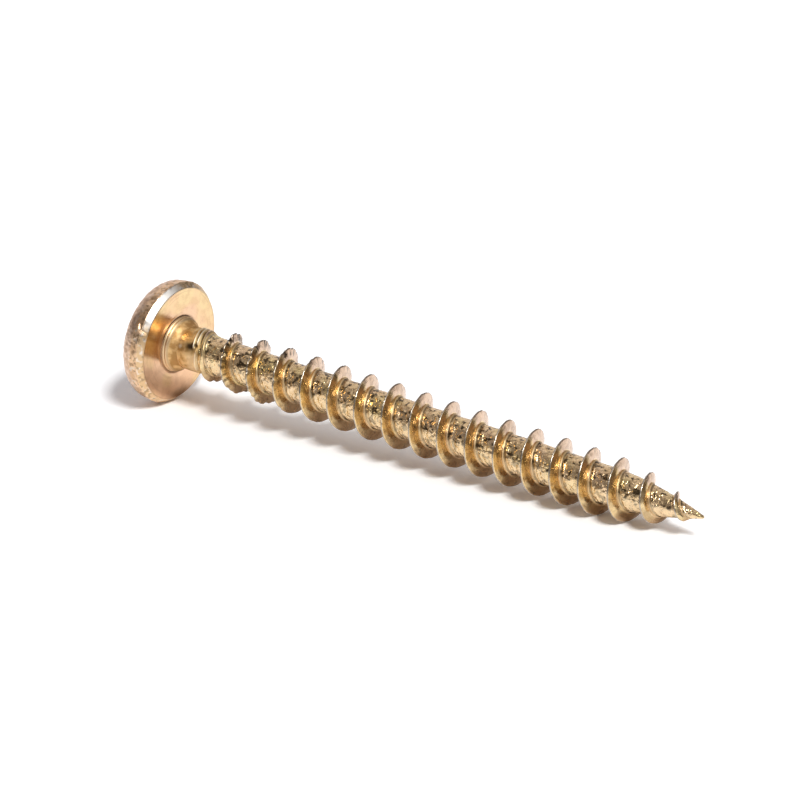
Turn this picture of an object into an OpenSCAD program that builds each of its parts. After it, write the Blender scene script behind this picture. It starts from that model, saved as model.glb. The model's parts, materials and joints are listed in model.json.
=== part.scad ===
// Pan head wood screw, cold headed and thread rolled from one piece of steel wire.
// Lengths are in millimetres. The screw is drawn upright with the underside of its head
// at z = 0 and its point up, then laid down as it comes to rest: on the edge of its head
// and on the last full turn of its thread, with the point towards +X and the floor at z = 0.

/* [Head] */
// Diameter of the head over its rim
head_d = 10.06; // [8.6:0.02:12]
// Height of the head from its underside to the top of the dome
head_h = 3.4; // [3.0:0.1:4.2]
// Height of the nearly straight side of the head
side_h = 1.1; // [0.8:0.1:1.3]
// How much the radius loses over the straight side
side_taper = 0.07; // [0.02:0.01:0.15]
// Radius of the shoulder between the side and the dome
shoulder_r = 1.38; // [0.9:0.02:1.6]
// Radius of the rounded edge between the underside and the side
edge_r = 0.42; // [0.2:0.02:0.5]

/* [Collar] */
// Diameter of the collar under the head
collar_d = 4.6; // [4.0:0.1:5.4]
// Thickness of the collar at its rim
collar_h = 0.42; // [0.2:0.02:0.6]
// Length over which the collar falls to the neck
collar_fall = 0.65; // [0.3:0.05:0.9]

/* [Drive recess] */
// Span of the cross recess across the top of the head
recess_span = 4.7; // [4.0:0.1:5.2]
// Span of the cross recess at its bottom
recess_bottom = 2.2; // [1.8:0.1:2.8]
// Width of each wing of the cross
recess_wing = 1.05; // [0.8:0.05:1.3]
// Depth of the recess below the top of the dome
recess_depth = 2.3; // [1.6:0.1:2.5]

/* [Shank] */
// Length from the underside of the head to the point
length = 50; // [40:1:60]
// Diameter of the plain neck
neck_d = 3.5; // [3.3:0.02:3.8]
// Length of the plain neck under the head
neck_h = 2.3; // [1.8:0.1:3]
// Length over which the neck falls to the core of the thread
neck_fall = 1; // [0.6:0.1:2]
// Diameter of the core between the turns of the thread
core_d = 3; // [2.7:0.05:3.2]
// Length of the taper of the core to the point
point_h = 8.5; // [7:0.5:11]
// How full the point is: 1 is a plain cone, more is a rounder flank
point_fullness = 1.77; // [1.3:0.01:2.2]
// Radius of the blunt tip of the point
tip_r = 0.09; // [0.06:0.01:0.16]

/* [Thread] */
// Outer diameter of the thread
thread_d = 5; // [4.6:0.1:5.4]
// Distance from one turn to the next
pitch = 2.63; // [2.4:0.01:3.2]
// Distance from the underside of the head to the first trace of the thread
thread_start = 2.2; // [1.8:0.1:3]
// Length over which the thread grows to its full height
thread_rise = 7; // [4:0.5:10]
// Length of the taper of the thread to the point
thread_point_h = 9; // [7:0.5:12]
// Angle round the screw where the thread starts, 0 being the side that it rests on
thread_turn = 120; // [0:10:350]
// Width of the crest of the thread
crest_w = 0.1; // [0.08:0.02:0.2]
// Width of the thread at its root
root_w = 0.5; // [0.4:0.02:0.7]
// Width of the fillet beside each root of the thread
fillet_w = 0.14; // [0.08:0.02:0.24]

/* [Hidden] */
$fn = 96;
screw_colour = "#c9a86c";
// Steps in one turn of the thread, and segments along each round stretch of a profile
turn_steps = 36;
arc_steps = 10;
// How far the shank and the recess cutter reach into or past the head, for a clean join
shank_sink = 0.3;
cutter_past = 1;
// Step that the collar leaves where it meets the neck
collar_step = 0.03;
// Share of the thread's height that the fillets take at its roots
fillet_rise = 0.1;

rim_r = head_d / 2;
collar_r = collar_d / 2;
neck_r = neck_d / 2;
core_r = core_d / 2;
thread_r = thread_d / 2;

// The dome is an arc about the axis that meets the shoulder's arc without a corner
shoulder_x = rim_r - side_taper - shoulder_r;
dome_r = (pow(shoulder_r, 2) - pow(side_h - head_h, 2) - pow(shoulder_x, 2))
       / (2 * (side_h - head_h + shoulder_r));
dome_z = dome_r - head_h;
shoulder_turn = atan2(shoulder_x, dome_z + side_h);

// A share of 0 before a stretch, 1 behind it, and straight in between
function share(z, from, run) = max(0, min(1, (z - from) / run));
// The same with a soft start and end
function soft(w) = w * w * (3 - 2 * w);

// Radius of the core at height z: neck, core, then the taper to the point
function core_at(z) =
    let (shaft = neck_r + (core_r - neck_r) * soft(share(z, neck_h, neck_fall)))
    let (taper = 1 - pow(share(z, length - point_h, point_h), point_fullness))
    tip_r + (shaft - tip_r) * taper;
// Radius of the crest at height z: it rises from the neck and falls with the point
function crest_at(z) =
    let (rise = 1 - pow(1 - share(z, thread_start, thread_rise), 2))
    let (taper = 1 - pow(share(z, length - thread_point_h, thread_point_h), point_fullness))
    let (full = thread_r * taper)
    max(core_at(z), core_at(z) + (full - core_at(z)) * rise);

// Points of an arc about c from angle a to angle b, without its first point
function arc(c, r, a, b) =
    [for (i = [1 : arc_steps]) c + r * [cos(a + (b - a) * i / arc_steps), sin(a + (b - a) * i / arc_steps)]];

// The head and collar turned about the axis: neck, collar, underside, edge, side, shoulder, dome
module head_blank() {
    collar_end = collar_h + collar_fall;
    step_r = neck_r + collar_step;
    rotate_extrude()
    polygon(concat(
        [[0, collar_end]],
        [for (i = [0 : arc_steps]) let (w = i / arc_steps)
            [step_r + (collar_r - step_r) * soft(w), collar_end - collar_fall * w]],
        [[collar_r, 0], [rim_r - edge_r, 0]],
        arc([rim_r - edge_r, -edge_r], edge_r, 90, 0),
        [[rim_r - side_taper, -side_h]],
        arc([shoulder_x, -side_h], shoulder_r, 0, shoulder_turn - 90),
        arc([0, dome_z], dome_r, shoulder_turn - 90, -90)
    ));
}

// The cross recess: two crossing slots that narrow to a blunt bottom
module recess_cutter() {
    reach = recess_depth + cutter_past;
    top_span = recess_bottom + (recess_span - recess_bottom) * reach / recess_depth;
    translate([0, 0, -head_h - cutter_past])
    intersection() {
        cylinder(h = reach, d1 = top_span, d2 = recess_bottom);
        union() {
            for (turn = [0, 90]) rotate(turn)
                translate([-recess_span, -recess_wing / 2, 0])
                cube([2 * recess_span, recess_wing, reach]);
        }
    }
}

// The shank is one strip, a pitch wide, wound round the axis with its crest along the middle.
// Offsets from the crest and shares of the thread's height across the strip
strip = [
    [-pitch / 2, 0],
    [-root_w / 2 - fillet_w, 0],
    [-root_w / 2, fillet_rise],
    [-crest_w / 2, 1],
    [crest_w / 2, 1],
    [root_w / 2, fillet_rise],
    [root_w / 2 + fillet_w, 0]
];
cols = len(strip);
last_row = floor((length - tip_r - pitch / 2 - thread_start) / pitch * turn_steps);
// The strip's upper edge lies a turn further on, and its last turn is a row of single points
edge_row = last_row + turn_steps;
edge_first = (last_row + 1) * cols;

// A point of the strip: the first turn's lower edge is a flat ring inside the head
function strip_point(row, col) =
    let (turn = thread_turn + row * 360 / turn_steps)
    let (crest_z = thread_start + row * pitch / turn_steps)
    let (z = (col == 0 && row < turn_steps) ? -shank_sink : crest_z + strip[col][0])
    let (r = core_at(z) + (crest_at(crest_z) - core_at(crest_z)) * strip[col][1])
    [r * cos(turn), r * sin(turn), z];

// Place of a strip point in the list of points: past the last column comes the next turn
function place(row, col) =
    (col == cols) ? place(row + turn_steps, 0)
    : (row <= last_row) ? row * cols + col
    : edge_first + row - last_row - 1;

// The shank with its thread, from the ring inside the head to the point
module shank() {
    tip = place(edge_row, 0) + 1;
    strip_points = [for (row = [0 : last_row]) for (col = [0 : cols - 1]) strip_point(row, col)];
    edge_points = [for (row = [last_row + 1 : edge_row]) strip_point(row, 0)];
    lower_halves = [for (row = [0 : last_row - 1]) for (col = [0 : cols - 1])
        [place(row, col), place(row + 1, col + 1), place(row + 1, col)]];
    upper_halves = [for (row = [0 : last_row - 1]) for (col = [0 : cols - 1])
        [place(row, col), place(row, col + 1), place(row + 1, col + 1)]];
    // The strip's first and last rows are closed against the turn beside them
    first_row_gap = [for (col = [0 : cols - 1])
        [place(turn_steps - 1, 0), place(0, col + 1), place(0, col)]];
    last_row_gap = [for (col = [0 : cols - 1])
        [place(last_row + 1, 0), place(last_row, col), place(last_row, col + 1)]];
    ring = [for (row = [0 : turn_steps - 1]) place(row, 0)];
    cone = [for (row = [last_row + 1 : edge_row - 1]) [place(row, 0), tip, place(row + 1, 0)]];
    cone_gap = [place(last_row + 1, 0), place(edge_row, 0), tip];
    polyhedron(
        points = concat(strip_points, edge_points, [[0, 0, length]]),
        faces = concat(
            lower_halves, upper_halves, first_row_gap, last_row_gap, [ring], cone, [cone_gap]
        )
    );
}

// Resting pose: the floor touches the rounded edge of the head and the lowest crest of the thread.
// Heights of the crests that face the floor
floor_crests = [for (k = [0 : ceil(length / pitch)])
    let (z = thread_start + pitch * (k - thread_turn / 360))
    if (z > thread_start && z < length - pitch) z];
// Tilt at which the edge of the head and a crest at height z would both touch the floor
function rest_tilt(z) =
    let (run = z + crest_w / 2 + edge_r)
    let (drop = rim_r - edge_r - crest_at(z))
    atan2(drop, run) + asin(edge_r / norm([run, drop]));
tilt = min([for (z = floor_crests) rest_tilt(z)]);
axis_height = edge_r + (rim_r - edge_r) * cos(tilt) - edge_r * sin(tilt);
front_x = length * cos(tilt);
back_x = dome_z * cos(tilt) - dome_r;

// The whole screw as it rests, with the middle of its bounding box over the origin
module screw() {
    color(screw_colour)
    translate([-(front_x + back_x) / 2, 0, axis_height])
    rotate([0, 90 + tilt, 0])
    union() {
        difference() {
            head_blank();
            recess_cutter();
        }
        shank();
    }
}

screw();
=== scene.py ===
"""Looks of the pan head wood screw: yellow zinc plate over cold headed and thread rolled wire.

The screw is worked out in its own space, in millimetres: z runs along its axis from the underside
of the head to the point, and turn is the angle round the axis, 0 where it faces the floor that it
rests on and 90 degrees at the back. to_frame() lays it down in the row's frame, in metres. "Up"
is the angle round the axis from the side that shows in the main view, in degrees, upwards.
"""

import json
import math

import bpy
import numpy as np
from mathutils import Matrix, Vector


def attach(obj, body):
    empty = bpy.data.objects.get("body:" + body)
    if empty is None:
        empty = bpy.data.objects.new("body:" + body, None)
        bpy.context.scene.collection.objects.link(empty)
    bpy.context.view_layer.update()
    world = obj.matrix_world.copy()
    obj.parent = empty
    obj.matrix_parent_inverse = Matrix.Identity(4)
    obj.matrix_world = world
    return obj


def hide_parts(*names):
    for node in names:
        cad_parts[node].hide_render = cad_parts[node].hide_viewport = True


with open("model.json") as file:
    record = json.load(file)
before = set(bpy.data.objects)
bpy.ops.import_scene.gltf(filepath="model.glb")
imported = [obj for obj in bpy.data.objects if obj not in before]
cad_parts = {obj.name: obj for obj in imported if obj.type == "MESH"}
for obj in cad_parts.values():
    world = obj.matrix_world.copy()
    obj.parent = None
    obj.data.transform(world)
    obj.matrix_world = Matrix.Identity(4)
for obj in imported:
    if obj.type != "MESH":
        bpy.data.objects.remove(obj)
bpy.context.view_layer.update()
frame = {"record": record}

MM = 0.001
MOUNTS = {mount["name"]: mount for mount in frame["record"]["mounts"]}

# Head, in millimetres
RIM_R = 5.03
HEAD_H = 3.4
SIDE_H = 1.1
SIDE_TAPER = 0.07
SHOULDER_R = 1.38
FLAT_R = 4.62
EDGE_H = 0.5
EDGE_SLOPE = 49.0
SHOULDER_X = RIM_R - SIDE_TAPER - SHOULDER_R

# Dents that tumbling in the barrel leaves on the rim, as size, depth and seed of the broad and of
# the small ones, and how deep the dented skin lies on the whole
BROAD_DENTS = (0.9, 0.01, 21)
SMALL_DENTS = (0.4, 0.006, 22)
DENT_SET = 0.018

# Nick in the rim: the middle of its raised lip as z and up, the lip's height, width and half
# length, and how far and over what half length it bends; then the middle of the scooped dent
# beside it, its depth and its radius
NICK_LIP = (-0.52, 4.7)
NICK_LIP_H, NICK_LIP_W, NICK_LIP_L = 0.11, 0.075, 0.42
NICK_BEND, NICK_BEND_L = 0.19, 0.55
NICK_DENT = (-0.4, 8.2)
NICK_DENT_H, NICK_DENT_R = 0.04, 0.4

# Collar under the head
COLLAR_R = 2.3
COLLAR_H = 0.42
COLLAR_FALL = 0.65
CONE_END = COLLAR_H + COLLAR_FALL

# Two beads round the collar, as radius and z
COLLAR_BEADS = [
    (COLLAR_R, 0.0),
    (COLLAR_R - 0.01, 0.06),
    (COLLAR_R - 0.02, 0.13),
    (COLLAR_R - 0.07, 0.2),
    (COLLAR_R - 0.07, 0.25),
    (COLLAR_R - 0.06, 0.32),
    (COLLAR_R - 0.09, 0.4),
    (COLLAR_R - 0.16, 0.48),
    (COLLAR_R - 0.25, 0.56),
]

# Grooves below the two beads, as z, width and how dark their painted shade is
COLLAR_GROOVES = [(0.45, 0.06, 1.0), (0.225, 0.04, 0.6)]

# Cross recess
RECESS_SPAN = 4.7
RECESS_BOTTOM = 2.2
RECESS_WING = 1.05
RECESS_DEPTH = 2.3
RECESS_TIP = 0.25
RECESS_LIP = 0.07

# Shank
LENGTH = 50.0
NECK_R = 1.75
NECK_END = 2.88
CORE_R = 1.5
POINT_H = 8.5
POINT_FULLNESS = 1.77
TIP_R = 0.09
SHANK_SINK = 0.3

# The step down from the neck: its raised lip's height and width; the stretch below the middle of
# the seen side where it is sharp, as start, rise, end and fall in degrees; the z and run of the
# sharp step, of the soft one elsewhere and of the slope behind both; and their shares of the fall
NECK_LIP, NECK_LIP_W = 0.035, 0.07
SHARP_STRETCH = (-4.0, 8.0, 70.0, 30.0)
SHARP_STEP = (NECK_END, 0.1)
SOFT_STEP = (NECK_END - 0.2, 0.5)
STEP_SLOPE = (NECK_END, 1.0)
STEP_SHARE, SLOPE_SHARE = 0.7, 0.3

# Thread
THREAD_R = 2.5
PITCH = 2.63
THREAD_START = 2.2
THREAD_RISE = 7.0
RISE_POWER = 0.3
THREAD_POINT_H = 9.0
THREAD_TURN = 120.0
CREST_W = 0.1
ROOT_W = 0.5
FILLET_W = 0.14
FILLET_RISE = 0.1
CREST_SHARE = 0.97

# The share of its height that the thread starts with, and where it grows to its full section; how
# far towards the point its first turn is pushed, and where that ends; where the run-out's places
# across a turn give way to the section's; and where the thread stops short of the tip. Each
# "where" is a z and a run.
START_SHARE = 0.25
GROWING = (3.15, 0.7)
START_PUSH = 0.23
PUSH_END = (3.1, 0.5)
RUN_OUT_END = (3.2, 0.7)
THREAD_STOP = (LENGTH - 1.6, 0.3)

# The thread's section on the point's side, as offset and share of its height: a rounded nose, a
# straight flank, and the bead that the dies leave along its root
TIP_SIDE = [
    (0.0, 1.0),
    (0.05, 0.99),
    (0.09, 0.885),
    (0.13, 0.78),
    (0.175, 0.665),
    (0.22, 0.55),
    (0.25, 0.36),
    (0.28, 0.17),
    (0.292, 0.09),
    (0.3, 0.075),
    (0.31, 0.082),
    (0.34, 0.108),
    (0.38, 0.128),
    (0.42, 0.13),
    (0.452, 0.117),
    (0.47, 0.075),
    (0.488, 0.02),
    (0.5, 0.004),
    (0.55, 0.0),
]

# Marks of the thread's run-out on the neck: offset from the thread's line, width, height or
# depth, and the stretch that they cover, from up to up
RUN_OUT = [
    (-0.92, 0.09, 0.035, 80.0, 38.0),
    (-0.51, 0.06, 0.12, 110.0, 4.0),
    (-0.34, 0.05, -0.08, 110.0, 8.0),
    (-0.18, 0.06, 0.12, 110.0, 16.0),
    (0.05, 0.06, -0.12, 110.0, -5.0),
    (0.53, 0.055, 0.07, 70.0, 10.0),
]
RUN_OUT_W = 0.68

# Wear of the first crests: where it starts to fade and how long it takes, burrs as size and seed,
# folds as size, depth and seed, and the z from which there are folds
WORN_Z, WORN_RUN = 5.0, 14.0
BURRS = (0.7, 11)
FOLDS = (0.42, 0.12, 12)
FOLDS_Z = 4.2

# Dimples of the rolled core, coarse and fine, and waves of the thread, as size, depth and seed
CORE_DIMPLES = [(0.5, 0.008, 1), (0.26, 0.007, 2)]
THREAD_WAVES = (0.4, 0.006, 13)

# Spots on the neck as z, up and radius: smudges of dark residue, with how dark they are, a pit,
# and a chip that shows bare zinc
NECK_SMUDGES = [
    (2.2, 3.0, 0.26, 1.0),
    (2.4, 14.0, 0.2, 1.0),
    (2.72, 11.0, 0.12, 1.0),
    (2.45, 3.0, 0.2, 1.0),
    (2.0, 8.0, 0.22, 0.6),
]
NECK_PIT = (2.72, 11.0, 0.1)
NECK_PIT_DEPTH = 0.12
NECK_CHIP = (1.33, -2.0, 0.12)

# Stretches round the shank where its colour differs by side, each from a soft rise to a soft fall: side (1
# above the middle of the seen side, -1 below it), start, rise, end and fall in degrees. The first makes the
# flanks pinker and a little darker above. The second is painted shade that darkens the flanks below, where
# they mirror the shadowed floor. The third is painted shade on the upper flanks, where they mirror the dark
# room. The fourth is a painted reflection of the lit floor that makes the core paler below.
SIDE_STRETCHES = {
    "pinker": (1, 38.0, 16.0, 180.0, 1.0),
    "brown": (-1, 54.0, 32.0, 180.0, 1.0),
    "shaded": (1, 6.0, 18.0, 36.0, 14.0),
    "pale": (-1, 8.0, 16.0, 58.0, 20.0),
}

# Side of the seat where the film is thickest, as a turn, and its clouds, as size, depth and seed
FILM_TURN = 150.0
FILM_CLOUDS = (2.2, 0.16, 31)

# Painted reflections on the seat: a dark band beside the collar where the shank is mirrored, from low to
# high, and the up of a dark spot where the shadow under the screw is mirrored
MIRRORED_SHANK = (-1.9, 0.3)
MIRRORED_SHADOW_UP = -118.0

# Values that the points of each piece carry for its material
SHANK_MARKS = ("height", "soil_and_shade", "grained", "bare_and_highlight", *SIDE_STRETCHES)
HEAD_MARKS = (
    "painted_reflection", "collar", "groove", "shade_at_foot", "rim", "edge", "dome", "fall", "crease", "rubbed_and_highlight", "film",
)

# Steps round the head, those of them over the nick's stretch, and its ends beside the seen side
HEAD_STEPS = 560
NICK_STEPS = 160
NICK_ENDS = (-22.0, 8.0)

# Rings of the recess up its tip, up its wings and over its lip, and rings of the dome
RECESS_RINGS = (8, 14, 4)
DOME_RINGS = 26

# Steps in one turn of the thread. Steps across a turn: from each place on the head's side to the
# next, then beyond the section's table, and on the first turn on each side of the run-out's marks
TURN_STEPS = 96
HEAD_SIDE_STEPS = [(-PITCH / 2, 12), (-ROOT_W / 2 - FILLET_W, 3), (-ROOT_W / 2, 4), (-CREST_W / 2, 2)]
BEYOND_STEPS = 8
RUN_OUT_BESIDE = 8

# The camera, as the photograph was taken: a long lens from above the point's side
CAMERA_AZIMUTH = 35.606
CAMERA_ELEVATION = 21.232
CAMERA_DISTANCE = 442.47
CAMERA_SHIFT = (2.292, -1.823)
CAMERA_LENS = 253.9

# Turn of the side that it sees, from which "up" is counted
SEEN_TURN = 245.0

# Lamps as name, direction from the screw, direction of the long way, distance in metres, half
# angles of the oval in degrees, share of white that it gives the floor, and tone
KEY_LAMP = ("key", (0.616, -0.38, 1.0), (-0.326, 0.946, 0.0), 4.0, (10.0, 5.0), 0.6, (0.98, 1.0, 1.01))
WINDOW = ("window", (0.736, 0.103, 0.669), (-0.139, 0.99, 0.0), 3.8, (30.0, 11.0), 0.1, (0.98, 1.0, 1.01))

# The room, in linear light: level direction towards its lit wall, and its tones
LIT_WALL = (-0.743, 0.669, 0.0)
DIM_SIDES = (0.24, 0.229, 0.236, 1.0)
LIT_SIDE = (0.88, 0.855, 0.87, 1.0)
CEILING = (0.4, 0.385, 0.395, 1.0)
WHITE = (1.0, 1.0, 1.0, 1.0)

# The paper, in linear light: how it lights the screw, and how it is seen
PAPER = (0.96, 0.96, 0.96, 1.0)
SEEN_PAPER = (1.14, 1.14, 1.14, 1.0)
PAPER_R = 0.8
PAPER_STEPS = 96

AXIS = np.array(MOUNTS["thread"]["axis"])
MIDDLE = np.array(MOUNTS["thread"]["pos_m"]) / MM
SEAT = MIDDLE - AXIS * LENGTH / 2
BACKWARD = np.array([0.0, 1.0, 0.0])
DOWNWARD = np.cross(BACKWARD, AXIS)


def to_frame(points):
    """Screw space to the frame: the seat plus z along the axis, x downwards and y backwards."""
    axes = np.array([DOWNWARD, BACKWARD, AXIS])
    return (SEAT + points @ axes) * MM


def share(z, start, run):
    """0 before a stretch, 1 behind it, and straight in between."""
    return np.clip((z - start) / run, 0.0, 1.0)


def soft(w):
    """A share with a soft start and end: three times its square less twice its cube."""
    return w * w * (3.0 - 2.0 * w)


def between(x, start, rise, end, fall):
    """1 on a stretch, with a soft rise at its start and a soft fall from its end on."""
    return soft(share(x, start, rise)) * (1.0 - soft(share(x, end, fall)))


def bell(x, width):
    """1 at 0, falling to nothing within about twice the width on either side."""
    return np.exp(-((x / width) ** 2))


def swell(points, size, seed, waves=28):
    """A smooth random field: the sum of plane waves about `size` long that run in random
    directions, divided so that its usual height is 1."""
    rng = np.random.default_rng(seed)
    ways = rng.normal(size=(waves, 3))
    ways /= np.linalg.norm(ways, axis=1)[:, None]
    ways *= (2.0 * np.pi / size) * rng.uniform(0.6, 1.5, size=(waves, 1))
    phases = rng.uniform(0.0, 2.0 * np.pi, size=waves)
    return np.sin(points @ ways.T + phases).sum(axis=-1) / math.sqrt(waves / 2.0)


def uneven(points, size, depth, seed):
    """A random field of the stated size, seed and usual depth."""
    return depth * swell(points, size, seed)


def up_from(turn_degrees):
    """Angle round the axis measured from the seen side, upwards, -180 to 180."""
    return (SEEN_TURN - turn_degrees + 180.0) % 360.0 - 180.0


def grid_quads(rows, cols, closed):
    """Quads of a grid of rows by cols points; a closed grid joins its last column to its first."""
    spans = cols if closed else cols - 1
    row, col = np.meshgrid(np.arange(rows - 1), np.arange(spans), indexing="ij")
    beside = (col + 1) % cols
    here, there = row * cols + col, row * cols + beside
    return np.stack([here.ravel(), there.ravel(), there.ravel() + cols, here.ravel() + cols], axis=1)


def make_piece(name, points, quads, caps, marks, plan, material):
    """Welds equal points of a surface, drops the faces that the welding flattens, closes the rings
    named in caps with a pole each, and makes the object. marks are values at the points by name,
    and plan gives each point its place along and across the rolled surface, in millimetres."""
    _, first, place = np.unique(np.round(points, 6), axis=0, return_index=True, return_inverse=True)
    place = place.ravel()
    corners = np.concatenate([quads[:, [0, 1, 2]], quads[:, [0, 2, 3]]])
    welded = place[corners]
    kept = ~(welded == np.roll(welded, 1, axis=1)).any(axis=1)
    corners, welded = corners[kept], welded[kept]
    rings = [ring[place[ring] != place[np.roll(ring, 1)]] for ring, _ in caps]
    poles = len(first) + np.arange(len(caps))
    fans = [np.stack([place[ring], np.roll(place[ring], -1), np.full(len(ring), pole)], axis=1)
            for ring, pole in zip(rings, poles)]
    fan_plans = [plan[np.stack([ring, np.roll(ring, -1), ring], axis=1)] for ring in rings]
    triangles = np.concatenate([welded] + fans)
    places = np.concatenate([points[first], np.array([pole for _, pole in caps])])
    mesh = bpy.data.meshes.new(name)
    mesh.from_pydata(to_frame(places).tolist(), [], triangles.tolist())
    for mark, values in marks.items():
        layer = mesh.attributes.new(mark, "FLOAT", "POINT")
        layer.data.foreach_set("value", np.concatenate([values.ravel()[first], np.zeros(len(caps))]))
    rolled = mesh.uv_layers.new(name="rolled")
    rolled.data.foreach_set("uv", np.concatenate([plan[corners]] + fan_plans).ravel())
    mesh.update()
    mesh.shade_smooth()
    mesh.materials.append(material)
    piece = bpy.data.objects.new(name, mesh)
    bpy.context.scene.collection.objects.link(piece)
    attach(piece, "root")
    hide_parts("screw")


def core_radius(z, up):
    """Neck, a step down with a raised lip where the rolling dies start, then the core, and the
    taper to the point as 1 less a power of the way along it. The step lies in a plane across the
    axis, sharp on the lower part of the seen side and soft elsewhere."""
    sharp = between(-up, *SHARP_STRETCH)
    step = sharp * soft(share(z, *SHARP_STEP)) + (1.0 - sharp) * soft(share(z, *SOFT_STEP))
    fall = STEP_SHARE * step + SLOPE_SHARE * soft(share(z, *STEP_SLOPE))
    shaft = NECK_R + NECK_LIP * sharp * bell(z - NECK_END, NECK_LIP_W) + (CORE_R - NECK_R) * fall
    taper = 1.0 - share(z, LENGTH - POINT_H, POINT_H) ** POINT_FULLNESS
    return TIP_R + (shaft - TIP_R) * taper


def crest_height(z):
    """Height of the crest over the core: it rises fast from the neck, as a low power of the way
    along, and falls to the point as 1 less a power of the way along the last stretch."""
    rise = share(z, THREAD_START, THREAD_RISE) ** RISE_POWER
    point = share(z, LENGTH - THREAD_POINT_H, THREAD_POINT_H)
    full = THREAD_R * (1.0 - point**POINT_FULLNESS)
    core = CORE_R * (1.0 - share(z, LENGTH - POINT_H, POINT_H) ** POINT_FULLNESS)
    return np.maximum(full - core, 0.0) * rise * (1.0 - soft(share(z, *THREAD_STOP)))


def thread_share(offset):
    """Height across a turn as a share of the thread's: on the head's side a narrow crest, a
    straight flank and a round fillet down to the core; on the point's side the table's section."""
    away = np.abs(offset)
    crest = 1.0 - (1.0 - CREST_SHARE) * share(away, 0.0, CREST_W / 2) ** 2
    flank = CREST_SHARE + (FILLET_RISE - CREST_SHARE) * share(away, CREST_W / 2, (ROOT_W - CREST_W) / 2)
    fillet = FILLET_RISE * (1.0 - share(away, ROOT_W / 2, FILLET_W)) ** 2
    head_side = np.where(away <= CREST_W / 2, crest, np.where(away <= ROOT_W / 2, flank, fillet))
    tip_side = np.interp(offset, [place for place, _ in TIP_SIDE], [height for _, height in TIP_SIDE])
    return np.where(offset < 0.0, head_side, tip_side)


def strip_offsets(crest_z):
    """Places across a turn. On the first turn they are close together over the run-out's marks,
    and further on where the thread's section bends."""
    tip_side = np.array([place for place, _ in TIP_SIDE])
    ends = [place for place, _ in HEAD_SIDE_STEPS[1:]] + [0.0]
    head_side = [np.linspace(start, end, count, endpoint=False)
                 for (start, count), end in zip(HEAD_SIDE_STEPS, ends)]
    beyond = np.linspace(tip_side[-1], PITCH / 2, BEYOND_STEPS + 1)[1:]
    threaded = np.concatenate([*head_side, tip_side, beyond])
    ridged = np.concatenate([
        np.linspace(-PITCH / 2, -RUN_OUT_W, RUN_OUT_BESIDE, endpoint=False),
        np.linspace(-RUN_OUT_W, RUN_OUT_W, len(threaded) - 2 * RUN_OUT_BESIDE),
        np.linspace(RUN_OUT_W, PITCH / 2, RUN_OUT_BESIDE + 1)[1:],
    ])
    return ridged + (threaded - ridged) * soft(share(crest_z, *RUN_OUT_END))


def young_thread(offset, crest_z):
    """How far the thread has grown, from the share that it starts with to 1, and its section,
    which is narrower while it grows and on the first turn is pushed towards the point."""
    grown = START_SHARE + (1.0 - START_SHARE) * soft(share(crest_z, *GROWING))
    first_turn = crest_z < THREAD_START + PITCH
    push = np.where(first_turn, START_PUSH * (1.0 - soft(share(crest_z, *PUSH_END))), 0.0)
    return grown, thread_share((offset - push) * (1.6 - 0.6 * grown))


def crest_folds(z, degrees, crest_z, profile, worn):
    """Folds that run over the crest, 0 to 1: the top of a random field drawn on a cylinder as wide
    as the crest, deepest on the worn first turns and on top, and fading down the flanks."""
    turn = np.radians(degrees)
    size, _, seed = FOLDS
    on_crest = np.stack([THREAD_R * np.cos(turn), THREAD_R * np.sin(turn), z], axis=-1)
    folds = np.clip(swell(on_crest, size, seed) - 1.0 + 1.1 * worn**2, 0.0, 1.0) * (crest_z > FOLDS_Z)
    on_top = soft(share(up_from(degrees), 25.0, 30.0))
    over_crest = soft(share(profile, 0.4 - 0.2 * worn**2, 0.3))
    return folds * (0.15 + 0.85 * worn) * (0.3 + 0.7 * on_top) * over_crest


def run_out_ridges(offset, crest_z, up):
    """The first turn starts as narrow ridges side by side that the dies left on the neck. Each is
    a bell across the turn, at its own offset, and fades out at both ends of its stretch."""
    first_turn = crest_z < THREAD_START + PITCH
    ridges = 0.0
    for place, width, height, top, bottom in RUN_OUT:
        stretch = between(up, bottom - 5.0, 10.0, top - 12.0, 24.0)
        ridges = ridges + height * bell(offset - place, width) * stretch
    return ridges * first_turn


def neck_spot(z, up, spot_z, spot_up, radius):
    """1 in the middle of a spot on the neck, falling to nothing within twice its radius."""
    around = np.radians(up - spot_up) * NECK_R
    return bell(np.hypot(z - spot_z, around), radius)


def along_lip(z, up, below, width):
    """1 along the lip at the neck's end or a little below it, on the lower part of the seen side."""
    return bell(z - NECK_END - below, width) * between(-up, 2.0, 10.0, 50.0, 20.0)


def shank_marks(z, up, height, grained, folds, ridges):
    """What the shank's material needs at each point: the height on the thread; dark dirt in folds and
    smudges, and painted shade in the furrows and below the lip; the dies' grain; a painted highlight on the
    ridges and the lip, and the chip's zinc without its film; and the stretches round the shank."""
    smudges = sum(dark * neck_spot(z, up, *spot) for *spot, dark in NECK_SMUDGES)
    # Dirt in the folds and smudges; painted shade in the furrows between the run-out's ridges and below the
    # lip, where the neck steps down
    furrows = np.clip(-ridges / 0.07, 0.0, 0.95)
    soil_and_shade = 2.5 * folds + 0.8 * smudges + furrows + 0.55 * along_lip(z, up, 0.15, 0.07)
    # Painted highlight along the run-out's ridges and on the lip, and the chip's zinc without its film
    bare_and_highlight = np.clip(ridges / 0.11 - 0.1, 0.0, 1.0) + 1.6 * neck_spot(z, up, *NECK_CHIP)
    bare_and_highlight = bare_and_highlight + 0.6 * along_lip(z, up, 0.0, 0.05)
    stretches = {name: between(side * up, *ends) for name, (side, *ends) in SIDE_STRETCHES.items()}
    stretches["pale"] = stretches["pale"] * soft(share(z, 1.8, 0.5))
    return {
        "height": height,
        "soil_and_shade": np.clip(soil_and_shade, 0.0, 1.0),
        "grained": grained,
        "bare_and_highlight": np.clip(bare_and_highlight, 0.0, 1.0) * (z < 5.0),
        **stretches,
    }


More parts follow.
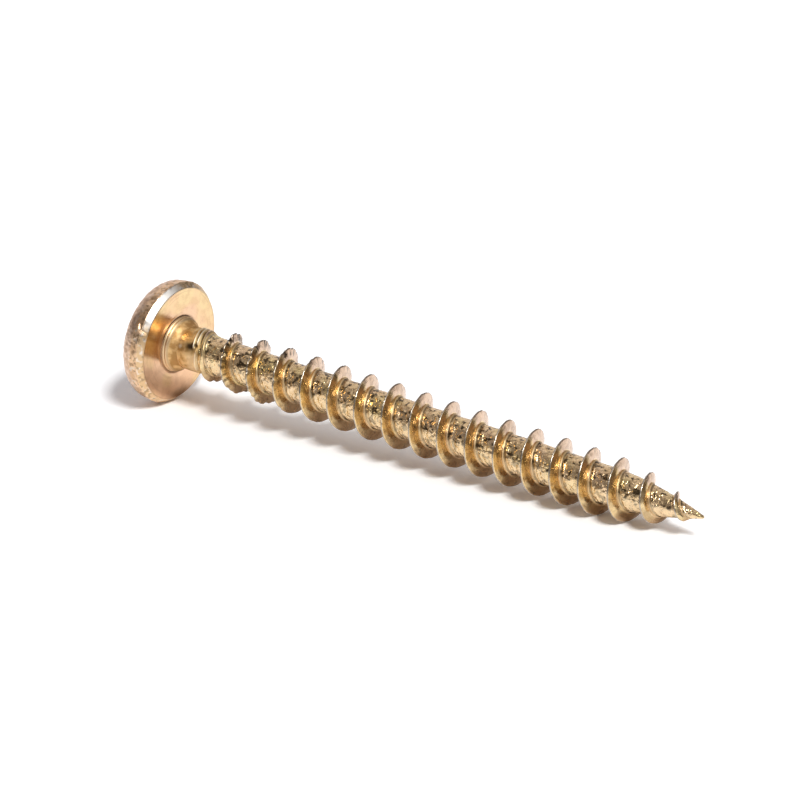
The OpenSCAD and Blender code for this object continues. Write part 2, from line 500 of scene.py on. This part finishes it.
def shank_piece(material):
    """One strip, a pitch wide, wound round the axis: a point at angle a and offset o lies at
    z = start + pitch * a / 360 + o, and its radius is the core's plus the thread's share there,
    plus ridges, burrs, folds and dimples. z is held between the ring inside the head and the blunt
    tip, and the welding closes both ends."""
    low, high = -SHANK_SINK, LENGTH - TIP_R
    first = math.floor((low - PITCH / 2 - THREAD_START) / PITCH * TURN_STEPS) - 1
    last = math.ceil((high + PITCH / 2 - THREAD_START) / PITCH * TURN_STEPS) + 1
    steps = np.arange(first, last + 1)
    crest_z = (THREAD_START + PITCH * steps / TURN_STEPS)[:, None]
    offset = strip_offsets(crest_z)
    z = np.clip(crest_z + offset, low, high)
    degrees = (THREAD_TURN + 360.0 * (steps % TURN_STEPS) / TURN_STEPS)[:, None] + 0.0 * z
    up = up_from(degrees)
    turn = np.radians(degrees)
    across = np.stack([np.cos(turn), np.sin(turn)], axis=-1)
    plain = np.concatenate([2.0 * across, z[..., None]], axis=-1)

    grown, profile = young_thread(offset, crest_z)
    worn = 1.0 - share(crest_z, WORN_Z, WORN_RUN)
    burrs = np.clip(swell(plain, *BURRS) - 0.3, 0.0, 1.4) * (0.02 + 0.17 * worn**2) * profile**2
    thread = crest_height(crest_z) * profile * grown * (1.0 - burrs)
    on_core = np.clip(1.0 - profile / 0.13, 0.0, 1.0)
    grained = soft(share(z, NECK_END, 0.5)) * (1.0 - 0.4 * share(z, LENGTH - 4.0, 3.5))
    dimples = sum(uneven(plain, *grain) for grain in CORE_DIMPLES)
    waves = uneven(plain, *THREAD_WAVES) * (1.0 - on_core)
    folds = crest_folds(z, degrees, crest_z, profile, worn)
    ridges = run_out_ridges(offset, crest_z, up)
    relief = ridges - NECK_PIT_DEPTH * neck_spot(z, up, *NECK_PIT)
    rough = (dimples * on_core + waves) * grained + relief - FOLDS[1] * folds
    inside = (z > low + 1e-9) & (z < high - 1e-9)
    radius = core_radius(z, up) + (thread + rough) * inside
    points = np.concatenate([radius[..., None] * across, z[..., None]], axis=-1).reshape(-1, 3)

    rows, cols = z.shape
    ring_low = np.arange(TURN_STEPS) * cols
    ring_high = (rows - TURN_STEPS + np.arange(TURN_STEPS)) * cols + cols - 1
    caps = [(ring_low[::-1], [0.0, 0.0, low]), (ring_high, [0.0, 0.0, LENGTH])]
    along = 2.0 * np.pi * CORE_R * steps[:, None] / TURN_STEPS + 0.0 * z
    plan = np.stack([along, offset + 0.0 * z], axis=-1).reshape(-1, 2)
    marks = shank_marks(z, up, profile * grown + 0.0 * z, grained, folds, ridges)
    quads = grid_quads(rows, cols, False)[:, ::-1]
    make_piece("shank", points, quads, caps, marks, plan, material)


def arc(centre, radius, start, end, count):
    """Points of an arc in the plane of radius and z, its first point left out."""
    angle = np.radians(np.linspace(start, end, count + 1)[1:])
    return np.stack([centre[0] + radius * np.cos(angle), centre[1] + radius * np.sin(angle)], axis=1)


def line(start, end, count):
    """Points of a straight stretch in the plane of radius and z, its first point left out."""
    w = np.linspace(0.0, 1.0, count + 1)[1:, None]
    return np.array(start) + (np.array(end) - np.array(start)) * w


def bend(start, knee, end, count):
    """Points of a curve that leaves its start towards the knee and comes to its end from there:
    the quadratic curve through the three, its first point left out."""
    w = np.linspace(0.0, 1.0, count + 1)[1:, None]
    return (1 - w) ** 2 * np.array(start) + 2 * w * (1 - w) * np.array(knee) + w**2 * np.array(end)


def through(knots, count):
    """A smooth curve through the knots, its first point left out: between two knots, the cubic
    whose direction at each is half the step from the knot before it to the one after."""
    knots = np.array(knots)
    padded = np.concatenate([2 * knots[:1] - knots[1:2], knots, 2 * knots[-1:] - knots[-2:-1]])
    slopes = (padded[2:] - padded[:-2]) / 2
    w = np.linspace(0.0, 1.0, count + 1)[1:, None]
    first, last = knots[:-1, None], knots[1:, None]
    leave, arrive = slopes[:-1, None], slopes[1:, None]
    curve = (1 + 2 * w) * (1 - w) ** 2 * first + w * (1 - w) ** 2 * leave
    curve = curve + w**2 * (3 - 2 * w) * last + w**2 * (w - 1) * arrive
    return curve.reshape(-1, 2)


def cross_outline(turn, span):
    """Radius of a cross with round ends at each angle: the wing's side or its end, the nearer."""
    folded = np.abs((turn + np.pi / 4) % (np.pi / 2) - np.pi / 4)
    return np.minimum(span / 2, RECESS_WING / 2 / np.maximum(np.sin(folded), 1e-6))


def recess_rings(turn, dome_height):
    """Rings of the cross recess from its middle to its rounded lip: a low tip, then a cross's
    outline that widens on the way up, then a quarter round over the lip."""
    floor_z = RECESS_DEPTH - HEAD_H
    bottom = cross_outline(turn, RECESS_BOTTOM)
    top = cross_outline(turn, RECESS_SPAN)
    tip_rings, wing_rings, lip_rings = RECESS_RINGS
    rings = []
    for w in np.linspace(0.0, 1.0, tip_rings + 1)[1:]:
        rings.append((bottom * w, floor_z + RECESS_TIP * (1.0 - w) + 0.0 * turn))
    for w in np.linspace(0.0, 1.0, wing_rings + 1)[1:]:
        r = cross_outline(turn, RECESS_BOTTOM + (RECESS_SPAN - RECESS_BOTTOM) * w)
        rings.append((r, floor_z + (dome_height(r) + RECESS_LIP - floor_z) * w))
    for w in np.linspace(0.0, np.pi / 2, lip_rings + 1)[1:]:
        r = top + RECESS_LIP * (1.0 - math.cos(w))
        rings.append((r, dome_height(r) + RECESS_LIP * (1.0 - math.sin(w))))
    return rings


def head_outline(below):
    """The head's profile from the dome's shoulder to the neck, as radius and z: the side, the
    slanting edge, the flat seat, the collar with its two beads, and its cone."""
    knee_z = -(RIM_R - FLAT_R) * math.tan(math.radians(EDGE_SLOPE))
    return np.concatenate([
        arc([SHOULDER_X, -SIDE_H], SHOULDER_R, below, 0.0, 16),
        line([RIM_R - SIDE_TAPER, -SIDE_H], [RIM_R, -EDGE_H], 14),
        bend([RIM_R, -EDGE_H], [RIM_R - 0.01, knee_z], [FLAT_R, 0.0], 14),
        line([FLAT_R, 0.0], [FLAT_R - 0.3, 0.0], 8),
        line([FLAT_R - 0.3, 0.0], COLLAR_BEADS[0], 10),
        through(COLLAR_BEADS, 4),
        bend(COLLAR_BEADS[-1], [NECK_R + 0.05, CONE_END - 0.22], [NECK_R - 0.02, CONE_END + 0.16], 18),
    ])


def head_grid():
    """Radius, z and turn of the head's points. The dome is the ball's cap that meets the shoulder's
    arc without a kink: its radius follows from its height, the shoulder's arc and its centre."""
    side_z = SIDE_H - HEAD_H
    dome_r = (SHOULDER_R**2 - side_z**2 - SHOULDER_X**2) / (2.0 * (side_z + SHOULDER_R))
    dome_z = dome_r - HEAD_H
    meeting = math.atan2(SHOULDER_X, dome_z + SIDE_H)

    def dome_height(r):
        return dome_z - np.sqrt(dome_r**2 - r**2)

    start, end = SEEN_TURN + NICK_ENDS[0], SEEN_TURN + NICK_ENDS[1]
    near_nick = np.linspace(start, end, NICK_STEPS, endpoint=False)
    elsewhere = np.linspace(end, start + 360.0, HEAD_STEPS - NICK_STEPS, endpoint=False)
    turn = np.concatenate([np.radians(near_nick), np.radians(elsewhere)])
    rings = recess_rings(turn, dome_height)
    inner = cross_outline(turn, RECESS_SPAN) + RECESS_LIP
    outer = dome_r * math.sin(meeting)
    for w in np.linspace(0.0, 1.0, DOME_RINGS + 1)[1:]:
        r = inner + (outer - inner) * w
        rings.append((r, dome_height(r)))
    for r, z in head_outline(math.degrees(meeting) - 90.0):
        rings.append((r + 0.0 * turn, z + 0.0 * turn))
    return np.array([ring[0] for ring in rings]), np.array([ring[1] for ring in rings]), turn


def nick(points):
    """Outward shift of a chance blow on the rim, worked out in two directions on its surface: a
    scooped dent, and beside it a raised lip that bends back at both ends."""
    up = up_from(np.degrees(np.arctan2(points[..., 1], points[..., 0])))
    around = np.radians(up) * RIM_R
    z = points[..., 2]
    from_lip_z = z - NICK_LIP[0]
    from_lip_up = around - math.radians(NICK_LIP[1]) * RIM_R
    along = (from_lip_z - from_lip_up) * math.sqrt(0.5)
    across = (from_lip_z + from_lip_up) * math.sqrt(0.5)
    across = across + NICK_BEND * (1.0 - (along / NICK_BEND_L) ** 2)
    lip = NICK_LIP_H * bell(across, NICK_LIP_W) * (1.0 - soft(share(np.abs(along), NICK_LIP_L, 0.2)))
    from_dent = np.hypot(z - NICK_DENT[0], around - math.radians(NICK_DENT[1]) * RIM_R)
    dent = NICK_DENT_H * bell(from_dent, NICK_DENT_R) * soft(share(across, 0.0, 0.12))
    on_rim = points[..., 0] ** 2 + points[..., 1] ** 2 > 4.0**2
    return (lip - dent) * (np.abs(up) < 30.0) * on_rim


def head_marks(points, r, z, turn, side, edge):
    """What the head's material needs at each point: the dulled side, the dome, the edge and its painted
    highlight, the film's thickness and painted reflections of the shank and of the shadow on the seat, and
    the collar with its grooves and cone, with painted shade in the grooves and where the collar meets the
    seat."""
    up = up_from(np.degrees(turn))
    on_seat = np.abs(z) < 0.02
    film = uneven(points, *FILM_CLOUDS) + 0.35 * np.cos(turn - math.radians(FILM_TURN)) * share(r, 2.6, 1.6)
    beside = r * np.sin(np.radians(up))
    mirrored_shank = between(beside, MIRRORED_SHANK[0], 0.4, MIRRORED_SHANK[1], 0.6) * (np.abs(up) < 90.0)
    mirrored_shadow = bell(np.radians(up - MIRRORED_SHADOW_UP) * RIM_R, 1.7) * soft(share(r, 3.7, 0.8))
    grooves = sum(dark * bell(z - groove_z, width) for groove_z, width, dark in COLLAR_GROOVES)
    return {
        # Painted reflections: the shank mirrored beside the collar, and the shadow under the screw mirrored
        # low on the seat
        "painted_reflection": (0.35 * mirrored_shank + 0.7 * mirrored_shadow) * on_seat,
        "collar": share(z, 0.0, 0.03) * (1.0 - 0.25 * share(z, 0.5, 0.2)) * (r < COLLAR_R + 0.01),
        # Painted shade in the collar's grooves and where the collar meets the seat
        "groove": np.clip(grooves, 0.0, 1.0) * (r < COLLAR_R) * (z > 0.0),
        "shade_at_foot": bell(r - COLLAR_R - 0.02, 0.11) * on_seat,
        "rim": side * (1.0 - edge),
        "edge": edge,
        "dome": side * share(-z, SIDE_H - 0.05, 0.3),
        "fall": share(z, 0.45, 0.1) * (r < COLLAR_R),
        "crease": bell(r - FLAT_R + 0.02, 0.08) * (z > -0.1),
        # Painted highlight: the stretch of the edge where the lamps' highlight falls
        "rubbed_and_highlight": between(up, 2.0, 12.0, 54.0, 20.0) * edge,
        "film": film - 0.5 * (1.0 - share(r, 2.4, 1.2)),
    }


def head_piece(material):
    """A profile carried round the axis. It starts at the middle of the recess, where each ring is
    the cross's outline instead of a circle, crosses the dome, and ends inside the neck. The rim is
    pressed in by shallow dents, and by one deeper nick on the seen side."""
    r, z, turn = head_grid()
    points = np.stack([r * np.cos(turn), r * np.sin(turn), z], axis=-1)
    side = np.maximum(share(r, 3.6, 0.9), share(-z, 1.9, 0.3)) * share(-z, 0.02, 0.04)
    off_seat = share(r, FLAT_R - 0.02, 0.03)
    edge = off_seat * (1.0 - share(-z, EDGE_H - 0.1, 0.1))
    size, depth, seed = BROAD_DENTS
    dents = np.clip(swell(points, size, seed), -1.5, 1.0) * depth + uneven(points, *SMALL_DENTS) - DENT_SET
    dents = dents * (1.0 - 0.75 * off_seat * (1.0 - share(-z, EDGE_H - 0.2, 0.2)))
    outward = points / np.linalg.norm(points, axis=-1)[..., None]
    points = points + outward * (dents * side + nick(points))[..., None]

    rows, cols = r.shape
    caps = [
        (np.arange(cols)[::-1], [0.0, 0.0, RECESS_DEPTH - HEAD_H + RECESS_TIP]),
        ((rows - 1) * cols + np.arange(cols), [0.0, 0.0, CONE_END]),
    ]
    marks = head_marks(points, r, z, turn, side, edge)
    plan = np.stack([r * turn, r], axis=-1).reshape(-1, 2)
    quads = grid_quads(rows, cols, True)
    make_piece("head", points.reshape(-1, 3), quads, caps, marks, plan, material)


def colour(hex_code):
    """An sRGB hex colour as linear red, green, blue and 1."""
    parts = [int(hex_code[i : i + 2], 16) / 255.0 for i in (0, 2, 4)]
    linear = [c / 12.92 if c <= 0.04045 else ((c + 0.055) / 1.055) ** 2.4 for c in parts]
    return (*linear, 1.0)


def grains(size):
    """The scale of a pattern on places in metres: one over the size of its grains, which is given
    in millimetres."""
    return 1.0 / (size * MM)


# What the nodes do here: Blender's node, its settings, its inputs in the order they are given, and
# its output. A coat lies over a tone where its cover is 1; a ramp takes a value's place between
# two ends, softly, and may stretch it to between two others.
NODES = {
    "place": ("ShaderNodeTexCoord", {}, (), "Object"),
    "way": ("ShaderNodeTexCoord", {}, (), "Generated"),
    "rolled": ("ShaderNodeUVMap", {"uv_map": "rolled"}, (), "UV"),
    "mark": ("ShaderNodeAttribute", {}, (), "Fac"),
    "seen": ("ShaderNodeLightPath", {}, (), "Is Camera Ray"),
    "mirrored": ("ShaderNodeLightPath", {}, (), "Is Glossy Ray"),
    "second": ("ShaderNodeSeparateXYZ", {}, ("Vector",), "Y"),
    "third": ("ShaderNodeSeparateXYZ", {}, ("Vector",), "Z"),
    "stretched": ("ShaderNodeMapping", {}, ("Vector", "Scale"), "Vector"),
    "scaled": ("ShaderNodeVectorMath", {"operation": "MULTIPLY"}, (0, 1), "Vector"),
    "unit": ("ShaderNodeVectorMath", {"operation": "NORMALIZE"}, (0,), "Vector"),
    "towards": ("ShaderNodeVectorMath", {"operation": "DOT_PRODUCT"}, (0, 1), "Value"),
    "times": ("ShaderNodeMath", {"operation": "MULTIPLY"}, (0, 1), "Value"),
    "plus": ("ShaderNodeMath", {"operation": "ADD"}, (0, 1), "Value"),
    "larger": ("ShaderNodeMath", {"operation": "MAXIMUM"}, (0, 1), "Value"),
    "ramp": ("ShaderNodeMapRange", {"interpolation_type": "SMOOTHSTEP"},
             ("Value", "From Min", "From Max", "To Min", "To Max"), "Result"),
    "coat": ("ShaderNodeMix", {"data_type": "RGBA", "clamp_factor": True}, ("Factor", 6, 7), 2),
    "noise": ("ShaderNodeTexNoise", {}, ("Vector", "Scale", "Detail"), "Fac"),
    "lines": ("ShaderNodeTexNoise", {"noise_dimensions": "2D"}, ("Vector", "Scale", "Detail"), "Fac"),
    "bump": ("ShaderNodeBump", {}, ("Height", "Distance", "Strength"), "Normal"),
    "metal": ("ShaderNodeBsdfPrincipled", {}, ("Base Color", "Roughness", "Normal", "Metallic"), "BSDF"),
    "paper": ("ShaderNodeBsdfPrincipled", {}, ("Base Color", "Roughness", "Specular IOR Level"), "BSDF"),
    "surface": ("ShaderNodeOutputMaterial", {}, ("Surface",), None),
    "light": ("ShaderNodeBackground", {}, ("Color", "Strength"), "Background"),
    "sky": ("ShaderNodeOutputWorld", {}, ("Surface",), None),
}


def add(tree, name, *inputs, **settings):
    """Adds a node of the table with its settings, sets or links its inputs in the table's order,
    and returns its output."""
    kind, fixed, places, output = NODES[name]
    node = tree.nodes.new(kind)
    for key, value in {**fixed, **settings}.items():
        setattr(node, key, value)
    for place, value in zip(places, inputs):
        if isinstance(value, bpy.types.NodeSocket):
            tree.links.new(value, node.inputs[place])
        else:
            node.inputs[place].default_value = value
    return None if output is None else node.outputs[output]


def make_material(name, surface):
    """A material of the surface that the function gives for its tree."""
    material = bpy.data.materials.new(name)
    material.use_nodes = True
    tree = material.node_tree
    tree.nodes.clear()
    add(tree, "surface", surface(tree))
    return material


def passivation(tree, thickness, pink, peach, yellow):
    """The film on yellow zinc is so fine that it shimmers: as it thickens, from 0 to 1, it turns from pink
    over peach to greenish yellow."""
    pinker = add(tree, "coat", add(tree, "ramp", thickness, 0.25, 0.5), colour(pink), colour(peach))
    return add(tree, "coat", add(tree, "ramp", thickness, 0.5, 0.75), pinker, colour(yellow))


# The real grain of dies and barrel, and the residue's specks, are about a tenth of a millimetre or
# finer, which is too fine to show in the render. They are drawn 0.3 to 0.9 mm coarse, so that they
# show. So are the lines along the root and round the seat, which lie 0.2 and 0.25 mm apart.


def rolled_tone(tree, place, offset, marks, core, grained, neck):
    """Colour of the rolled shank: the film's shimmer on the core, a satin neck, flanks pinker above and
    with painted shade below and where the room is dark, a painted highlight along the root's bead and
    painted shade in a line beside it, zinc grey along the worn crest, mottling and specks of residue in the
    grain, and a painted reflection of the lit floor that makes the core paler below."""
    height = marks["height"]
    film = passivation(tree, add(tree, "noise", place, grains(1.6), 1.0), "eccba4", "efcfa0", "ebd196")
    clouds = add(tree, "ramp", add(tree, "noise", place, grains(0.6), 4.0), 0.4, 0.62)
    satin = add(tree, "coat", clouds, colour("e4c48e"), colour("bd955c"))
    # Flanks: pinker and a little darker above; painted shade darkens them below, and on their outer part
    # where they face the dark room
    shaded = add(tree, "times", marks["shaded"], add(tree, "ramp", height, 0.25, 0.6, 0.0, 0.9))
    flank = add(tree, "coat", marks["pinker"], colour("eed3a0"), colour("dfc0a4"))
    flank = add(tree, "coat", marks["brown"], flank, colour("b89874"))
    flank = add(tree, "coat", shaded, flank, colour("b08e5a"))
    # Painted highlight: a golden line along the root's bead
    onto_bead = add(tree, "ramp", offset, 0.33, 0.38)
    off_bead = add(tree, "ramp", offset, 0.41, 0.46, 1.0, 0.0)
    bead = add(tree, "times", add(tree, "times", onto_bead, off_bead), marks["grained"])
    # Painted shade: a dark line beside the bead, stronger where the core is grained
    into_line = add(tree, "ramp", offset, 0.45, 0.5)
    out_of_line = add(tree, "ramp", offset, 0.56, 0.68, 1.0, 0.0)
    shade_strength = add(tree, "ramp", grained, 0.0, 0.6, 0.0, 0.75)
    shade_beside_bead = add(tree, "times", add(tree, "times", into_line, out_of_line), shade_strength)
    stains = add(tree, "ramp", add(tree, "noise", place, grains(0.9), 3.0), 0.42, 0.66, 0.0, 0.45)
    stained = add(tree, "times", stains, add(tree, "ramp", height, 0.02, 0.2))
    mottles = add(tree, "ramp", add(tree, "noise", place, grains(0.5), 3.0), 0.4, 0.6)
    specks = add(tree, "ramp", add(tree, "noise", place, grains(0.42), 4.0), 0.53, 0.62)
    dark = add(tree, "times", specks, add(tree, "ramp", grained, 0.0, 1.0, 0.1, 0.95))
    tone = film
    for cover, over in (
        (neck, satin),
        (add(tree, "ramp", height, 0.14, 0.24), flank),
        (bead, colour("e6c894")),
        (shade_beside_bead, colour("665032")),
        (stained, colour("8b6a4c")),
        (add(tree, "ramp", height, 0.96, 0.99), colour("b8ada0")),
        (add(tree, "times", mottles, add(tree, "times", grained, 0.3)), colour("a27d4c")),
        # Dark specks in the grain, dirt in folds and smudges, and painted shade in the furrows and below
        # the lip
        (add(tree, "larger", dark, marks["soil_and_shade"]), colour("4d3d29")),
        # Painted reflection of the lit floor: the core paler below the middle of the seen side
        (add(tree, "times", core, add(tree, "times", marks["pale"], 0.45)), colour("f6deb6")),
        # Painted highlight on the ridges and the lip, and the chip's zinc without its film
        (marks["bare_and_highlight"], colour("f6e8cc")),
    ):
        tone = add(tree, "coat", cover, tone, over)
    return tone


def rolled_zinc(tree):
    """Yellow passivated zinc plate on the rolled thread. Rolling between dies leaves a bright
    brassy film in the roots, a grained core that glints, and fine lines along the thread's root;
    the neck, which the dies don't touch, stays satin."""
    place = add(tree, "place")
    rolled = add(tree, "rolled")
    offset = add(tree, "second", rolled)
    marks = {name: add(tree, "mark", attribute_name=name) for name in SHANK_MARKS}
    core = add(tree, "ramp", marks["height"], 0.02, 0.12, 1.0, 0.0)
    grained = add(tree, "times", core, marks["grained"])
    neck = add(tree, "times", core, add(tree, "ramp", marks["grained"], 0.0, 0.6, 1.0, 0.0))
    tone = rolled_tone(tree, place, offset, marks, core, grained, neck)

    grain = add(tree, "noise", place, grains(0.45), 3.0)
    lines = add(tree, "lines", add(tree, "stretched", rolled, (0.4, 5.0, 1.0)), 1.0, 1.0)
    onto_core = add(tree, "ramp", offset, 0.25, 0.4)
    over_core = add(tree, "ramp", offset, 0.7, 1.1, 1.0, 0.3)
    beside = add(tree, "times", add(tree, "times", onto_core, over_core), marks["grained"])
    pitted = add(tree, "times", grain, add(tree, "ramp", grained, 0.0, 1.0, 0.2, 1.9))
    relief = add(tree, "plus", pitted, add(tree, "times", lines, beside))
    normal = add(tree, "bump", relief, 0.1 * MM)

    into_root = add(tree, "ramp", offset, 0.28, 0.34)
    out_of_root = add(tree, "ramp", offset, 0.5, 0.8, 1.0, 0.0)
    root = add(tree, "times", into_root, out_of_root)
    rough = add(tree, "ramp", grain, 0.3, 0.7, 0.18, 0.3)
    rough = add(tree, "larger", rough, add(tree, "times", neck, 0.5))
    rough = add(tree, "larger", rough, add(tree, "times", root, 0.44))
    return add(tree, "metal", tone, rough, normal, 1.0)


def headed_tone(tree, place, rolled, marks):
    """Colour of the headed top: the seat's shimmer with turning marks and blotches, and painted reflections
    of the shank and of the shadow; a side with dark flecks and grey scuffs, browner on the dome; a worn
    edge with a painted highlight; and a dull collar, its cone brown with residue, and painted shade in its
    grooves and where it meets the seat."""
    film = add(tree, "ramp", marks["film"], -1.0, 1.0)
    shimmer = passivation(tree, film, "f0c8a4", "f0cd9f", "efd2a0")
    turned = add(tree, "lines", add(tree, "stretched", rolled, (0.35, 4.0, 1.0)), 1.0, 2.0)
    blotches = add(tree, "ramp", add(tree, "noise", place, grains(0.7), 3.0), 0.4, 0.62)
    flecks = add(tree, "ramp", add(tree, "noise", place, grains(0.32), 4.0), 0.52, 0.62)
    scuffs = add(tree, "ramp", add(tree, "noise", place, grains(0.36), 4.0), 0.42, 0.34)
    clouds = add(tree, "ramp", add(tree, "noise", place, grains(0.5), 4.0), 0.42, 0.58)
    rubbed_and_highlight = add(tree, "ramp", add(tree, "noise", place, grains(0.4), 3.0), 0.5, 0.7)
    residue = add(tree, "ramp", add(tree, "noise", place, grains(0.7), 3.0), 0.4, 0.6)
    on_rim = add(tree, "ramp", marks["rim"], 0.0, 1.0, 0.0, 0.6)
    on_edge = add(tree, "ramp", marks["edge"], 0.0, 1.0, 0.0, 0.6)
    on_dome = add(tree, "ramp", marks["dome"], 0.0, 1.0, 0.0, 0.75)
    dulled = add(tree, "coat", blotches, colour("edc9a2"), colour("d0a982"))
    browner = add(tree, "coat", clouds, colour("e6c9b2"), colour("c0a088"))
    worn = add(tree, "coat", rubbed_and_highlight, colour("dfbe92"), colour("f2e6d8"))
    brown = add(tree, "coat", residue, colour("e2bf88"), colour("b88f5a"))
    tone = shimmer
    for cover, over in (
        (add(tree, "ramp", turned, 0.58, 0.74, 0.0, 0.25), colour("a87f58")),
        (add(tree, "times", blotches, 0.22), colour("c08f64")),
        # Painted reflections of the shank and of the shadow on the seat
        (marks["painted_reflection"], colour("5e3c1e")),
        (marks["rim"], dulled),
        (add(tree, "times", flecks, on_rim), colour("7d6246")),
        (add(tree, "times", scuffs, on_rim), colour("d6cec2")),
        (on_dome, browner),
        (marks["edge"], worn),
        (add(tree, "times", flecks, on_edge), colour("8d745c")),
        # Painted highlight on the edge where the lamps shine on it
        (marks["rubbed_and_highlight"], colour("fbf5ec")),
        (add(tree, "ramp", marks["crease"], 0.0, 1.0, 0.0, 0.3), colour("8a6a48")),
        (add(tree, "times", marks["collar"], 0.9), colour("e6cba2")),
        (marks["fall"], brown),
        # Painted shade in the collar's grooves and where it meets the seat
        (add(tree, "times", marks["groove"], 0.5), colour("a07848")),
        (add(tree, "times", marks["shade_at_foot"], 0.8), colour("6e4524")),
    ):
        tone = add(tree, "coat", cover, tone, over)
    return tone


def headed_zinc(tree):
    """Yellow passivated zinc plate on the cold headed top. The punch leaves the seat smooth, so it mirrors
    the shank softly; tumbling in the barrel dulls and marks the rim; and the edge is worn, with a painted
    highlight where the lamps shine on it."""
    place = add(tree, "place")
    rolled = add(tree, "rolled")
    marks = {name: add(tree, "mark", attribute_name=name) for name in HEAD_MARKS}
    tone = headed_tone(tree, place, rolled, marks)
    rough = add(tree, "ramp", marks["rim"], 0.0, 1.0, 0.2, 0.4)
    for name, roughness in (("collar", 0.46), ("fall", 0.62), ("edge", 0.38)):
        rough = add(tree, "larger", rough, add(tree, "times", marks[name], roughness))
    grain = add(tree, "noise", place, grains(0.4), 3.0)
    dulled = add(tree, "ramp", marks["rim"], 0.0, 1.0, 0.1, 1.0)
    normal = add(tree, "bump", grain, 0.06 * MM, dulled)
    return add(tree, "metal", tone, rough, normal, 1.0)


def matt_paper(tree):
    """White studio paper: matt, so that it takes only the soft shadow. The camera and the metal see
    it a little brighter than it lights the screw, so that it is white up to the shadow's edge."""
    seen = add(tree, "larger", add(tree, "seen"), add(tree, "mirrored"))
    return add(tree, "paper", add(tree, "coat", seen, PAPER, SEEN_PAPER), 1.0, 0.0)


def make_floor():
    """A flat round sheet of paper under the screw."""
    angle = np.linspace(0.0, 2.0 * np.pi, PAPER_STEPS, endpoint=False)
    rim = np.stack([PAPER_R * np.cos(angle), PAPER_R * np.sin(angle), 0.0 * angle], axis=1)
    mesh = bpy.data.meshes.new("floor")
    mesh.from_pydata(rim.tolist(), [], [list(range(PAPER_STEPS))])
    mesh.materials.append(make_material("white_studio_paper", matt_paper))
    floor = bpy.data.objects.new("floor", mesh)
    bpy.context.scene.collection.objects.link(floor)


def make_camera():
    """The camera looks along its back direction, past the middle of the screw."""
    azimuth = math.radians(CAMERA_AZIMUTH)
    elevation = math.radians(CAMERA_ELEVATION)
    right = np.array([math.cos(azimuth), math.sin(azimuth), 0.0])
    level = np.array([math.sin(azimuth), -math.cos(azimuth), 0.0])
    back = level * math.cos(elevation) + np.array([0.0, 0.0, math.sin(elevation)])
    up = np.cross(back, right)
    place = MIDDLE + CAMERA_DISTANCE * back - CAMERA_SHIFT[0] * right - CAMERA_SHIFT[1] * up
    lens = bpy.data.cameras.new("camera")
    lens.sensor_width = 36.0
    lens.lens = CAMERA_LENS
    lens.clip_start = 0.01
    camera = bpy.data.objects.new("camera", lens)
    turned = Matrix([list(right), list(up), list(back)]).transposed().to_4x4()
    camera.matrix_world = Matrix.Translation(Vector(place * MM)) @ turned
    bpy.context.scene.collection.objects.link(camera)
    bpy.context.scene.camera = camera


def make_lamp(name, towards, along, distance, half_angles, share_of_white, tone):
    """An oval soft box in the direction `towards` from the screw, facing it, with its long way
    along `along`. Its power is such that it gives the floor the stated share of white: power =
    share * pi squared * distance squared / the sine of its elevation."""
    towards = np.array(towards) / np.linalg.norm(towards)
    along = np.array(along) - np.dot(along, towards) * towards
    along /= np.linalg.norm(along)
    lamp = bpy.data.lights.new(name, "AREA")
    lamp.shape = "ELLIPSE"
    lamp.size = 2.0 * distance * math.tan(math.radians(half_angles[0]))
    lamp.size_y = 2.0 * distance * math.tan(math.radians(half_angles[1]))
    lamp.energy = share_of_white * (math.pi * distance) ** 2 / towards[2]
    lamp.color = tone
    holder = bpy.data.objects.new(name, lamp)
    turned = Matrix([list(along), list(np.cross(towards, along)), list(towards)]).transposed().to_4x4()
    holder.matrix_world = Matrix.Translation(Vector(towards * distance)) @ turned
    bpy.context.scene.collection.objects.link(holder)


def make_room():
    """The room: a dim studio with one lit wall behind the head, and a ceiling in between. Its tone
    follows the direction alone. Past the paper's edge the camera sees white."""
    world = bpy.data.worlds.new("room")
    bpy.context.scene.world = world
    world.use_nodes = True
    tree = world.node_tree
    tree.nodes.clear()
    way = add(tree, "way")
    level = add(tree, "unit", add(tree, "scaled", way, (1.0, 1.0, 0.0)))
    facing_wall = add(tree, "ramp", add(tree, "towards", level, LIT_WALL), 0.66, 0.88)
    overhead = add(tree, "ramp", add(tree, "third", way), 0.75, 1.0)
    tone = add(tree, "coat", facing_wall, DIM_SIDES, LIT_SIDE)
    tone = add(tree, "coat", overhead, tone, CEILING)
    tone = add(tree, "coat", add(tree, "seen"), tone, WHITE)
    add(tree, "sky", add(tree, "light", tone, 1.0))


make_camera()
head_piece(make_material("yellow_zinc_on_headed_steel", headed_zinc))
shank_piece(make_material("yellow_zinc_on_rolled_steel", rolled_zinc))
make_floor()
make_room()
make_lamp(*KEY_LAMP)
make_lamp(*WINDOW)

bpy.context.scene.view_settings.view_transform = "Standard"
